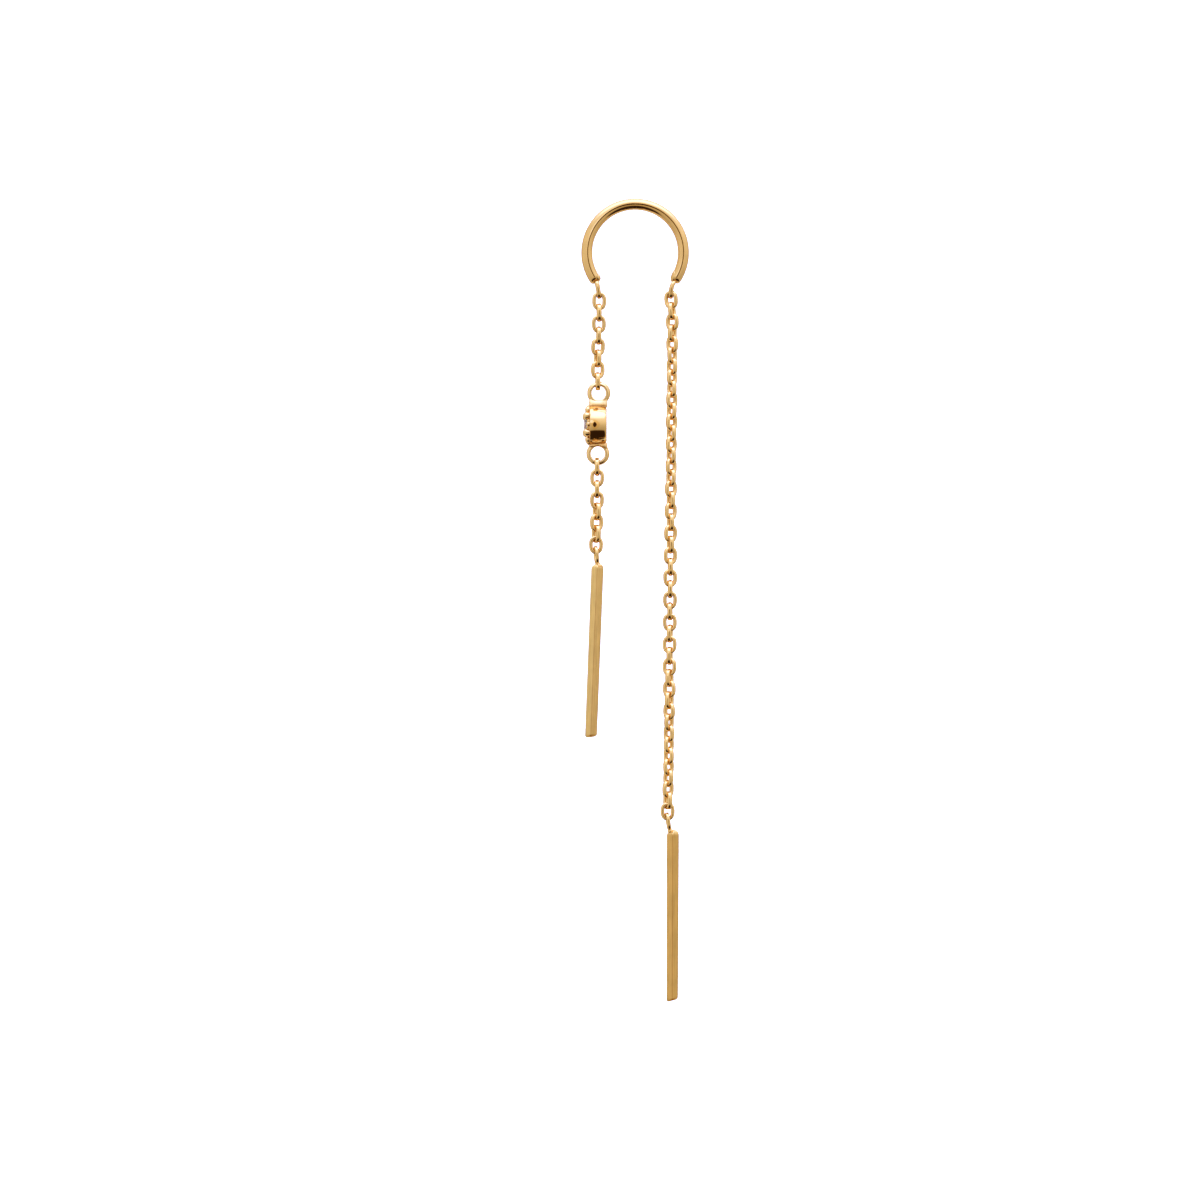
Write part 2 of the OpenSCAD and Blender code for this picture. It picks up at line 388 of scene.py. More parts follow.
GOLD_GROUP_SOCKETS = {
    "INPUT": {
        "Place": "Vector", "Lay": "Vector", "Painted shade": "Float", "Satin": "Float", "Gold": "Color",
        "Satin gold": "Color", "Painted shade colour": "Color", "Streaks": "Float", "Polish": "Float",
    },
    "OUTPUT": {"Colour": "Color", "Roughness": "Float", "Height": "Float"},
}
DRIFT_SCALE = 900
LINES_SCALE = (9, 9, 0.35)
MARKS_SCALE = (2.2, 2.2, 1.1)
SATIN_STREAKS = 0.7
SATIN_ROUGHNESS = 0.12
STREAK_ROUGHNESS = 0.25
# Extra roughness that goes with the painted shade.
PAINTED_SHADE_ROUGHNESS = 0.22
MARK_HEIGHT = 0.15
EDGE_TINT = (0.96, 0.85, 0.63)
STONE_IOR = 2.15
HAZE_SCALE = 1400
GIRDLE_ROUGHNESS = 0.3


def worked_gold_group():
    """Node group of plated gold as it leaves the bench: a slight drift in tone, fine polishing lines
    along the metal and a few soft handling marks. It also paints shade: by its share, the colour goes over to the
    dark painted shade colour and the surface gets rougher. Where it is satin, it has its own colour, stronger lines
    and a rougher surface."""
    found = bpy.data.node_groups.get("Worked gold")
    if found:
        return found
    group = bpy.data.node_groups.new("Worked gold", "ShaderNodeTree")
    for in_out, sockets in GOLD_GROUP_SOCKETS.items():
        for name, kind in sockets.items():
            group.interface.new_socket(name, in_out=in_out, socket_type="NodeSocket" + kind)
    graph = Graph(group)
    given = group.nodes.new("NodeGroupInput").outputs
    results = group.nodes.new("NodeGroupOutput")
    satin, painted_shade_and_matt = given["Satin"], given["Painted shade"]

    drift = graph.noise(given["Place"], DRIFT_SCALE, detail=2)
    lines = graph.noise(graph.scaled(given["Lay"], LINES_SCALE), 1, detail=4, roughness=0.62)
    marks = graph.noise(graph.scaled(given["Lay"], MARKS_SCALE), 1, detail=2)
    streaks = graph.add(given["Streaks"], graph.times(satin, SATIN_STREAKS))
    streaked = graph.times(lines, streaks)

    line_tone = graph.add(graph.times(graph.add(lines, -0.5), streaks), 1.0)
    tone = graph.times(graph.soft(drift, 0.3, 0.7, 0.94, 1.04), line_tone)
    grey = graph.node("CombineColor", {0: tone, 1: tone, 2: tone})
    plain = graph.mix(satin, given["Gold"], given["Satin gold"])
    toned = graph.mix(1.0, plain, grey, "MULTIPLY")
    graph.fill(results, {
        # Painted shade: the colour goes over to the painted shade colour by the point's share.
        "Colour": graph.mix(painted_shade_and_matt, toned, given["Painted shade colour"]),
        "Roughness": graph.add(
            given["Polish"], graph.soft(marks, 0.52, 0.72, 0, 0.05), graph.times(streaked, STREAK_ROUGHNESS),
            graph.times(satin, SATIN_ROUGHNESS), graph.times(painted_shade_and_matt, PAINTED_SHADE_ROUGHNESS),
        ),
        "Height": graph.add(streaked, graph.times(marks, MARK_HEIGHT)),
    })
    return group


def new_material(name):
    """A material, its graph and its shader."""
    material = bpy.data.materials.new(name)
    material.use_nodes = True
    return material, Graph(material.node_tree), material.node_tree.nodes["Principled BSDF"]


def gold_finish(name, gold, streaks, polish, bump_height, satin_gold=(1, 1, 1)):
    """Plated gold: the worked gold group feeds colour, roughness and a fine bump of some height in
    millimetres. The satin gold shows only where the surface has a share of satin."""
    material, graph, shader = new_material(name)
    worked = graph.node("Group", {
        "Place": graph.place(),
        "Lay": graph.attribute(LENGTHWISE, "Vector"),
        # The share and the colour of the painted shade.
        "Painted shade": graph.attribute(PAINTED_SHADE_AND_MATT),
        "Satin": graph.attribute(SATIN),
        "Gold": gold,
        "Satin gold": satin_gold,
        "Painted shade colour": bpy.context.scene.earring_finish.painted_shade_colour,
        "Streaks": streaks,
        "Polish": polish,
    }, node_tree=worked_gold_group()).node.outputs
    bump = {"Strength": 1.0, "Distance": bump_height * MM, "Height": worked["Height"]}
    graph.fill(shader, {
        "Metallic": 1.0,
        "Specular Tint": EDGE_TINT,
        "Base Color": worked["Colour"],
        "Roughness": worked["Roughness"],
        "Normal": graph.node("Bump", bump, "Normal"),
    })
    return material


def clear_stone_finish():
    """A clear, colourless cut stone: full transmission, with a trace of haze and a matt girdle."""
    material, graph, shader = new_material("clear_stone")
    haze = graph.noise(graph.place(), HAZE_SCALE, detail=2)
    # On the stone this share only marks the girdle and makes it matt; it paints no shade here.
    girdle = graph.times(graph.attribute(PAINTED_SHADE_AND_MATT), GIRDLE_ROUGHNESS)
    graph.fill(shader, {
        "Transmission Weight": 1.0,
        "IOR": STONE_IOR,
        "Base Color": graph.mix(haze, (0.985, 0.988, 1.0), (0.95, 0.955, 0.975)),
        "Roughness": graph.add(girdle, graph.soft(haze, 0.5, 0.75, 0, 0.03)),
    })
    return material


# Ear hook. A side is -1 for the left end and 1 for the right one.

ARCH_CENTRE = mm(0, 0, -3.85)
CUP_RADIUS = 0.24 * MM
CUP_DEPTH = 0.5 * MM
CUP_RADII = CUP_RADIUS * np.array([0.3, 0.7, 0.93, 1.0, 1.04])
CUP_STATIONS = CUP_DEPTH * np.array([1.0, 0.95, 0.7, 0.1, 0.0])
OUT_OF_ROUND = 0.16
LOOP_FOOT = mm(3.19, 0, -8.02)
LOOP_BEND = {-1: 0.05 * MM, 1: 0.34 * MM}
LOOP_BEND_FROM = 0.45
LOOP_LEAN_SHARE = {-1: 1.0, 1: 0.45}
HOOK_SOLDER = {
    -1: (mm(-3.39, 0, -6.1), mm(0.28, 0.4, 0.36), math.radians(-25)),
    1: (mm(3.56, 0, -5.96), mm(0.32, 0.42, 0.62), math.radians(18)),
}


class EARRING_OT_ear_hook(Operator):
    """Round wire arch with a loop and a bead of solder at each end"""
    bl_idname = "earring.ear_hook"
    bl_label = "Ear hook"

    def execute(self, context):
        sizes = context.scene.earring_hook
        gold = gold_finish("hook_gold", context.scene.earring_finish.gold, 0.05, 0.12, 0.0012)
        patches = [self.arch(sizes), *self.loop(sizes, -1), *self.loop(sizes, 1)]
        make_piece("hook_wire", patches, HANGING, ["ear_hook"], gold)
        return {"FINISHED"}

    def rod_profile(self, length, radius, rounding):
        """Stations and radii of a rod: the floor and the wall of a shallow cup in its end, a flat rim,
        a quarter-circle rounding, a straight and the same back."""
        bend = np.linspace(0, math.pi / 2, 8)
        start_stations = np.concatenate([CUP_STATIONS, rounding * (1 - np.cos(bend))])
        start_radii = np.concatenate([CUP_RADII, radius - rounding + rounding * np.sin(bend)])
        middle = np.linspace(rounding, length - rounding, 160)[1:-1]
        stations = np.concatenate([start_stations, middle, length - start_stations[::-1]])
        radii = np.concatenate([start_radii, np.full(len(middle), radius), start_radii[::-1]])
        return stations[:, None], radii[:, None]

    def arch(self, sizes):
        """Round rod bent to an arc in the XZ plane: centre of arc + (bend radius + r cos t) outward
        + (r sin t + slant r cos t) across, where r is the rod profile's radius at that length along
        the arc, and the slant puts the left part slightly out of round. Near each end the length
        also changes with the place across, so that the cut faces a little to the front."""
        length = (math.pi + 2 * sizes.tuck) * sizes.arch
        stations, radii = self.rod_profile(length, sizes.wire / 2, sizes.end_rounding)
        t = round_steps(48)
        base_angle = stations / sizes.arch - sizes.tuck
        slant = OUT_OF_ROUND * smooth_step(base_angle, math.radians(95), math.radians(165))
        out = radii * np.cos(t)
        across = radii * np.sin(t) + slant * out
        from_end = np.minimum(stations, length - stations)
        turned = np.sign(stations - length / 2) * (1 - smooth_step(from_end, 0.3 * MM, 0.9 * MM))
        angle = base_angle + math.tan(sizes.end_turn) * turned * across / sizes.arch
        points = stacked((sizes.arch + out) * np.cos(angle), across, (sizes.arch + out) * np.sin(angle))
        lay = stacked(out, across, stations) / MM
        end_angle = base_angle[[0, -1], 0]
        ends = sizes.arch * stacked(np.cos(end_angle), 0, np.sin(end_angle))
        # Painted shade, at full strength, on the floor and the wall of the cup in each end.
        in_cup = (radii < 1.01 * CUP_RADIUS).astype(float)
        return closed_grid(points + ARCH_CENTRE, lay, poles=ends + ARCH_CENTRE, painted_shade_and_matt=in_cup)

    def loop(self, sizes, side):
        """The loop under one end, edge-on and leaning, its top bent out to the wire, and its solder."""
        wire = sizes.loop_wire
        loop = link_shape(sizes.loop_length, sizes.loop_width, wire, wire, wire, narrowing=0, around=20)
        # The loop keeps the painted shade only at its lower end, where the chain hangs in it.
        loop.painted_shade_and_matt[loop.points[:, 2] > 0] = 0
        upright = loop.points[:, [1, 0, 2]] + np.array([0, 0, sizes.loop_length / 2])
        above = np.clip(upright[:, 2] / sizes.loop_length - LOOP_BEND_FROM, 0, None) / (1 - LOOP_BEND_FROM)
        upright[:, 0] += LOOP_BEND[side] * above ** 2
        leaning = turned_y(upright, sizes.loop_lean * LOOP_LEAN_SHARE[side]) + LOOP_FOOT
        leaning[:, 0] *= side
        return [moved(loop, leaning), blob(*HOOK_SOLDER[side])]


# Chains. Heights and places are in millimetres and turns in degrees. A path has rows of height and x,
# and turns has rows of the link's number, its turn and the spread between neighbours.

FRONT_UPPER = {
    "first": -8.226, "last": -15.44, "count": 8,
    "path": ((-8.2, -3.23), (-10.4, -3.26), (-11.4, -3.28), (-12.9, -3.37), (-15.4, -3.36)),
    "turns": ((1, 0, 0), (4, 4, 0), (5, 20, 0), (7, 16, 0), (8, 4, 0)),
}
FRONT_LOWER = {
    "first": -23.13, "last": -29.16, "count": 7,
    "path": ((-23.1, -3.41), (-25.1, -3.42), (-27.2, -3.44), (-29.2, -3.49)),
    "turns": ((1, 0, 0), (3, 2, 0), (4, 14, 0), (5, 21, 0), (6, 28, 0), (7, 24, 0)),
}
BACK = {
    "first": -8.109, "last": -53.145, "count": 46,
    "path": (
        (-7.6, 3.19), (-8.7, 3.3), (-10.1, 3.35), (-15.1, 3.32), (-21.2, 3.26), (-29.3, 3.19),
        (-35.3, 3.14), (-43.2, 3.08), (-49.1, 3.03), (-53.2, 2.94),
    ),
    "turns": (
        (1, -18, 2), (4, -31, 5), (9, -51, 9), (17, -53, 8), (23, -71, 7), (28, -90, 2),
        (32, -99, 2), (36, -120, -4), (40, -135, -8), (46, -145, -8),
    ),
}
LOOK_AHEAD = 0.5
CHANCE_SEED = 11
FRONT_PIVOT = mm(-3.52, 0, -30.83)
BACK_PIVOT = mm(2.93, 0, -54.81)
END_LINK_LENGTH = 1.66 * MM
END_LINK_WIRE = 0.33 * MM
END_LINK_RISE = (END_LINK_LENGTH - END_LINK_WIRE) / 2
UPRIGHT = np.array([0, 0, 1.0])


def strand(route, link, starts_edge_on, chance, unevenness):
    """The links of one strand, evenly spaced in height. Every other one is turned a quarter, give or
    take the spread."""
    number = np.arange(route["count"])
    height = np.linspace(route["first"], route["last"], route["count"])
    path_z, path_x = np.array(route["path"]).T
    x, x_ahead = (np.interp(-z, -path_z, path_x) for z in (height, height + LOOK_AHEAD))
    jitter = chance.uniform(-unevenness, unevenness, (route["count"], 3))
    sway = jitter * LOOK_AHEAD / 2
    ups = stacked(x_ahead - x + sway[:, 0], sway[:, 1], LOOK_AHEAD)
    turned_at, turn, spread = np.array(route["turns"]).T
    quarter = (number + starts_edge_on) % 2
    degrees = np.interp(number + 1, turned_at, turn) + 90 * quarter
    degrees = degrees + np.interp(number + 1, turned_at, spread) * (2 * quarter - 1)
    places = zip(stacked(x, 0, height) * MM, ups, np.radians(degrees) + jitter[:, 2], number)
    return [placed_link(link, *place) for place in places]


class EARRING_OT_chains(Operator):
    """Three strands of cable chain, and the last link of each that a bar swings on"""
    bl_idname = "earring.chains"
    bl_label = "Chains"

    def execute(self, context):
        sizes = context.scene.earring_chain
        # The chains take the lighter copy of the gold, with painted light.
        gold = gold_finish("chain_gold", context.scene.earring_finish.chain_gold, 0.08, 0.09, 0.001)
        link = link_shape(sizes.length, sizes.width, sizes.wire, sizes.side_wire, sizes.depth)
        chance = np.random.default_rng(CHANCE_SEED)
        for name, route, edge_on in (
            ("front_chain_upper", FRONT_UPPER, False),
            ("front_chain_lower", FRONT_LOWER, True),
            ("back_chain", BACK, False),
        ):
            links = strand(route, link, edge_on, chance, sizes.unevenness)
            make_piece(name + "_links", links, HANGING, [name], gold)
        end_link = link_shape(END_LINK_LENGTH, sizes.width, END_LINK_WIRE, sizes.side_wire, sizes.end_depth)
        for name, pivot, turn in (("front_end_link", FRONT_PIVOT, 0), ("back_end_link", BACK_PIVOT, -4)):
            placed = placed_link(end_link, pivot + END_LINK_RISE * UPRIGHT, UPRIGHT, math.radians(turn))
            make_piece(name + "_wire", [placed], HANGING, [name], gold)
        return {"FINISHED"}


# Setting

BAND_FRONT = mm(-4.13, 0, -19.37)
UPPER_RING = mm(-3.27, 0, -16.5)
LOWER_RING = mm(-3.35, 0, -21.95)
RING_SLANT = 0.35
SOFT_POLISH = 0.5
SEAT_RADIUS = 1.22 * MM
COLLAR_HEIGHT = 0.2 * MM
COLLAR_STEP = 0.13 * MM
LIGHT_HOLE_RADIUS = 0.75 * MM
WALL_STEPS = 32
CREST = 0.0115 * MM
CREST_AT = -0.42
CREST_WIDTH = 0.35
GRAIN_RISES = (0.27 * MM, 0.59 * MM, 0.38 * MM, 0.29 * MM)
GRAIN_RADII = (0.225 * MM, 0.34 * MM, 0.31 * MM, 0.31 * MM)
GRAIN_NECK = 0.9
GRAIN_ROOT = 0.12 * MM
CLAW_LEAN = 0.08 * MM
SADDLE_X = BAND_FRONT[0] + 0.8 * MM
SADDLE_HALF_WIDTH = 0.82 * MM
SADDLE_FOOT = -0.16 * MM
SADDLE_CLIMB = (0.12 * MM, 0.14 * MM)
SADDLE_TIP = 0.004 * MM
GROOVE_Z = 0.01 * MM
GROOVE_WIDTH = 0.07 * MM
GROOVE_DEPTH = 0.04 * MM


def filleted(corners, radii, steps=7):
    """Closed outline through the corners, each replaced by an arc of its radius that touches both sides."""
    before = unit(np.roll(corners, 1, axis=0) - corners)
    after = unit(np.roll(corners, -1, axis=0) - corners)
    half = np.arccos(np.clip(np.einsum("ij,ij->i", before, after), -1, 1)) / 2
    centre = corners + unit(before + after) * (radii / np.sin(half))[:, None]
    touch_1, touch_2 = ((corners + way * (radii / np.tan(half))[:, None])[:, None] for way in (before, after))
    t = np.linspace(0, 1, steps)[:, None]
    chord = unit(touch_1 * (1 - t) + touch_2 * t - centre[:, None])
    return (centre[:, None] + chord * radii[:, None, None]).reshape(-1, 2)


def torus(centre, middle_radius, wire_radius, slant, steps=96, around=24):
    """A ring in the XZ plane: centre + (R + r cos t)(cos s X + sin s Z) + (r sin t + slant r cos t) Y."""
    s, t = round_steps(steps)[:, None], round_steps(around)
    out, across = wire_radius * np.cos(t), wire_radius * np.sin(t)
    points = stacked(np.cos(s) * (middle_radius + out), across + slant * out, np.sin(s) * (middle_radius + out))
    return closed_grid(points + centre, stacked(out / MM, across / MM, 0.6 * np.sin(s)))


def bead(height, radius, lean, rows=22, around=24):
    """A grain on the plane z = 0 with its top at height: a neck that flares at its foot, under a ball.
    The radius at height h is the larger of the neck's and the ball's, and lean shifts it along X with h."""
    neck = GRAIN_NECK * radius
    angle = np.linspace(-0.42 * math.pi, 0.485 * math.pi, rows)
    ball_z = height - radius + radius * np.sin(angle)
    ball_r = radius * np.cos(angle)
    neck_z = np.linspace(-GRAIN_ROOT, max(height - 1.75 * radius, -0.6 * GRAIN_ROOT), 6)
    neck_r = neck * smooth_step(neck_z, -2.2 * GRAIN_ROOT, -0.1 * GRAIN_ROOT)
    keep = ball_z > neck_z[-1]
    ball_r = np.maximum(ball_r, np.where(ball_z < height - radius, neck, 0))
    z = np.concatenate([neck_z, ball_z[keep]])[:, None]
    r = np.concatenate([neck_r, ball_r[keep]])[:, None]
    t = round_steps(around)
    points = stacked(r * np.cos(t) - lean * smooth_step(z, 0, height), r * np.sin(t), z)
    poles = np.array([[0, 0, -GRAIN_ROOT], [-lean, 0, height]])
    # Painted shade at the grain's foot, fading out a little way up the grain.
    return closed_grid(points, points / MM, poles=poles, painted_shade_and_matt=0.5 * (1 - smooth_step(z, 0, 0.4 * radius)))


def saddle(ring_z, ring_radius, foot_depth, top_depth, groove, glow, steps=48, around=40):
    """The solder between ring and band, for the upper side, with the band's top at z = 0. At x, its
    section goes from the foot up over the ring's lower wire, and its depth changes evenly on the way,
    with a groove just over the band, darkened by a painted shadow line. Towards +x it also climbs a little way up
    the ring. Its two ends are rounded, and glow is the least share of painted shade that it has all over."""
    u, t = np.linspace(-1, 1, steps + 2)[1:-1, None], round_steps(around)
    x = SADDLE_HALF_WIDTH * np.sin(u * math.pi / 2)
    roundness = np.sqrt(1 - np.abs(u) ** 5)
    top_z = ring_z - ring_radius
    climb = SADDLE_CLIMB[0] + SADDLE_CLIMB[1] * smooth_step(x / SADDLE_HALF_WIDTH, 0.3, 0.95)
    top = np.minimum(ring_z - np.sqrt(np.maximum(ring_radius ** 2 - x ** 2, 0)), top_z + climb)
    middle, half = (top + SADDLE_FOOT) / 2, (top - SADDLE_FOOT) / 2 * roundness ** 0.4
    z = middle + half * power(np.sin(t), 0.7)
    share = np.clip((z - SADDLE_FOOT) / (top_z - SADDLE_FOOT), 0, 1)
    cut = groove * np.exp(-((z - GROOVE_Z) / GROOVE_WIDTH) ** 2) * smooth_step(1 - np.abs(u), 0.05, 0.3)
    depth = foot_depth + (top_depth - foot_depth) * share - GROOVE_DEPTH * cut
    points = stacked(x, depth / 2 * power(np.cos(t), 0.3) * roundness, z)
    poles = stacked(x[[0, -1], 0] + np.array([-SADDLE_TIP, SADDLE_TIP]), 0, middle[[0, -1], 0])
    # Painted shadow along the groove, and at least glow's share of painted shade everywhere.
    return closed_grid(points, points / MM, poles=poles, painted_shade_and_matt=np.maximum(0.8 * cut, glow))


class EARRING_OT_setting(Operator):
    """Round band with grains, a ring above and below, and the solder between"""
    bl_idname = "earring.setting"
    bl_label = "Setting"

    def execute(self, context):
        sizes = context.scene.earring_setting
        ring_radius = (sizes.ring - sizes.ring_wire) / 2
        soft = [torus(centre, ring_radius, sizes.ring_wire / 2, RING_SLANT) for centre in (UPPER_RING, LOWER_RING)]
        soft += self.saddles(sizes, ring_radius) + self.grains(sizes)
        for patch in soft:
            patch.satin[:] = SOFT_POLISH
        finish = context.scene.earring_finish
        gold = gold_finish("setting_gold", finish.gold, 0.05, 0.045, 0.0012, finish.soft_gold)
        make_piece(
            "stone_setting_gold", [self.band(sizes), *soft], HANGING, ["stone_setting"], gold,
        )
        return {"FINISHED"}

    def band(self, sizes):
        """A closed outline of (depth, radius) carried round the X axis: band front + depth X + radius
        (sin a Y + cos a Z). Its wall swells by a parabola of its depth, barrel (1 - m^2) - cone m with
        m from -1 to 1, and by a slight crest on the two sides between the rings."""
        depth = sizes.depth
        rim = sizes.band / 2 - sizes.barrel - sizes.cone ** 2 / (4 * sizes.barrel)
        collar = -COLLAR_HEIGHT
        corners = np.array([
            (0, rim - COLLAR_STEP), (0, rim), (depth, rim), (depth, LIGHT_HOLE_RADIUS),
            (0.5 * MM, LIGHT_HOLE_RADIUS), (0.12 * MM, SEAT_RADIUS), (0.6 * collar, SEAT_RADIUS + 0.01 * MM),
            (collar, SEAT_RADIUS + 0.08 * MM), (collar, rim - COLLAR_STEP),
        ])
        outline = filleted(corners, mm(0.02, 0.1, 0.2, 0.06, 0.05, 0.03, 0.02, 0.04, 0.08))
        wall = stacked(np.linspace(0.13 * MM, depth - 0.23 * MM, WALL_STEPS), rim)
        outline = np.insert(outline, len(outline) // len(corners) * 2, wall, axis=0)
        along, radius = outline[:, :1], outline[:, 1:]
        middle = (along - depth / 2) / (depth / 2)
        on_wall = smooth_step(radius, rim - 0.1 * MM, rim)
        radius = radius + (sizes.barrel * (1 - middle ** 2) - sizes.cone * middle) * on_wall
        angle = round_steps(144)
        beside = smooth_step(np.abs(np.sin(angle)), 0.6, 1.0)
        crested = radius + CREST * np.exp(-((middle - CREST_AT) / CREST_WIDTH) ** 2) * on_wall * beside
        points = stacked(along, crested * np.sin(angle), crested * np.cos(angle)) + BAND_FRONT
        lay = stacked(along / MM, radius / MM, 0.4 * np.sin(angle))
        # Painted shade on the band's inner parts, stronger towards the light hole.
        return closed_grid(points, lay, painted_shade_and_matt=0.8 * (1 - smooth_step(radius, 0.6 * MM, 1.2 * MM)))

    def grains(self, sizes):
        """The grains stand round the front. The four claws are the ones next to the two side grains."""
        patches = []
        for number in range(sizes.grains):
            angle = 2 * math.pi * number / sizes.grains
            from_side = min(abs(number % (sizes.grains // 2) - sizes.grains // 4), len(GRAIN_RISES) - 1)
            lean = CLAW_LEAN if from_side == 1 else 0.0
            grain = bead(GRAIN_RISES[from_side], GRAIN_RADII[from_side], lean)
            out, across, high = grain.points.T
            out = out + sizes.grain_ring / 2
            c, s = math.cos(angle), math.sin(angle)
            points = stacked(-high, out * s + across * c, out * c - across * s) + BAND_FRONT
            patches.append(moved(grain, points))
        return patches

    def saddles(self, sizes, ring_radius):
        """A saddle of solder over and under the band, each up to its ring's inner edge."""
        patches = []
        inner = ring_radius - 0.4 * sizes.ring_wire
        # The lower saddle has painted shade of 0.3 all over; the upper one has the groove with its painted shadow.
        for ring, side, foot_depth, top_depth, groove, glow in (
            (UPPER_RING, 1, 0.86 * MM, 0.46 * MM, 1.0, 0.0),
            (LOWER_RING, -1, 0.46 * MM, 0.62 * MM, 0.0, 0.3),
        ):
            edge = BAND_FRONT[2] + side * sizes.band / 2
            made = saddle(side * (ring[2] - edge), inner, foot_depth, top_depth, groove, glow)
            points = made.points * np.array([1, 1, side]) + np.array([SADDLE_X, 0, edge])
            patches.append(moved(made, points))
        return patches


# Stone

STONE_PLACE = BAND_FRONT - mm(0.02, 0, 0)
STONE_TURN = math.radians(11)
STAR_SHARE = 0.79
LOWER_SHARE = 0.27


class EARRING_OT_stone(Operator):
    """Round brilliant-cut stone with flat facets"""
    bl_idname = "earring.stone"
    bl_label = "Stone"

    def execute(self, context):
        stone = self.brilliant(context.scene.earring_stone)
        make_piece("stone_cut", [stone], HANGING, ["stone"], clear_stone_finish(), smooth=False)
        return {"FINISHED"}

    def brilliant(self, sizes):
        """Crown: table, eight star facets, eight kites, sixteen upper girdle facets. Pavilion: eight
        kites to the point and sixteen lower girdle facets. A kite lies in the plane through its
        girdle point that falls evenly to the table's corner, or to the point."""
        r = sizes.across / 2
        table, star_r, lower_r = sizes.table * r, STAR_SHARE * r, LOWER_SHARE * r
        eighth = math.pi / 8
        star_z = sizes.crown * (r - star_r * math.cos(eighth)) / (r - table)
        lower_z = -sizes.pavilion * (1 - lower_r * math.cos(eighth) / r)
        girdle_angle = STONE_TURN + np.arange(16) * eighth
        main, between = girdle_angle[::2], girdle_angle[1::2]

        def ring(angles, radius, height):
            """Points round the stone's axis, with their height towards -X."""
            return stacked(-height, radius * np.sin(angles), radius * np.cos(angles)) + STONE_PLACE

        points = np.concatenate([
            ring(np.zeros(1), 0, sizes.crown), ring(main, table, sizes.crown), ring(between, star_r, star_z),
            ring(girdle_angle, r, 0), ring(girdle_angle, r, -sizes.girdle),
            ring(between, lower_r, lower_z - sizes.girdle), ring(np.zeros(1), 0, -sizes.girdle - sizes.pavilion),
        ])
        top, corner, star, girdle, base, low, point = np.split(np.arange(len(points)), [1, 9, 17, 33, 49, 57])
        upper_main, upper_between = girdle[::2], girdle[1::2]
        lower_main, lower_between = base[::2], base[1::2]
        next_corner = np.roll(corner, -1)
        quads = np.concatenate([
            stacked(corner, np.roll(star, 1), upper_main, star),
            stacked(lower_main, np.roll(low, 1), point, low),
            stacked(girdle, base, np.roll(base, -1), np.roll(girdle, -1)),
        ])
        tris = np.concatenate([
            stacked(top, corner, next_corner),
            stacked(corner, star, next_corner),
            stacked(star, upper_main, upper_between),
            stacked(star, upper_between, np.roll(upper_main, -1)),
            stacked(low, lower_between, lower_main),
            stacked(low, np.roll(lower_main, -1), lower_between),
        ])
        # Here the share of painted shade only marks the girdle, which the stone's finish makes matt.
        painted_shade_and_matt = np.zeros(len(points))
        painted_shade_and_matt[[*girdle, *base]] = 1
        return Patch(points, quads, tris, points / MM, painted_shade_and_matt)


# Bars

HUNG = {
    "front_bar": {
        "pivot": FRONT_PIVOT, "shift": 0.145 * MM, "link_lean": -5, "link_turn": -80, "end_cut": 9, "taper": 0.015,
    },
    "back_bar": {
        "pivot": BACK_PIVOT, "shift": 0.47 * MM, "link_lean": -9, "link_turn": -84, "end_cut": 16, "taper": 0.06,
    },
}
HANG_GAP = 0.1 * MM
OWN_LINK_Z = END_LINK_WIRE + HANG_GAP - END_LINK_RISE
SOLDER = 0.07 * MM
FOOT_SOLDER_RISE = 0.05 * MM
FOOT_SOLDER_SHIFT = mm(0.08, 0, -0.08)
FOOT_SOLDER_SIZE = mm(0.25, 0.26, 0.26)
FLAT_PLACES = np.array([-0.985, -0.95, -0.6, -0.3, 0, 0.3, 0.6, 0.95, 0.985])
SECTION_TURN = math.radians(-3)
SHOULDER = 0.55 * MM
DOME_POWER = 2.1
DOME_SHIFT = 0.14 * MM
END_ROUNDING = 0.28 * MM
END_LEAN = math.radians(6)
RINGS_REACH = 0.95 * MM
RING_SPACING = 0.16 * MM
RING_DEPTH = 0.006 * MM
DISH = 0.06 * MM
DISH_DEPTHS = DISH * np.array([0, 0.5, 1])
DISH_RADII = np.array([0.46, 0.4, 0.15])
# Painted shade on the bar: in the end's dish, along the four edges below the top, and a dark patch on the rounding
# of the front edge near the end.
DISH_PAINTED_SHADE = 0.9
EDGE_PAINTED_SHADE = 0.35
END_PAINTED_SHADE = 0.95
END_SHADE_RISE = 0.13 * MM
END_SHADE_HEIGHT = 0.07 * MM
END_SHADE_WIDTH = 0.24 * MM


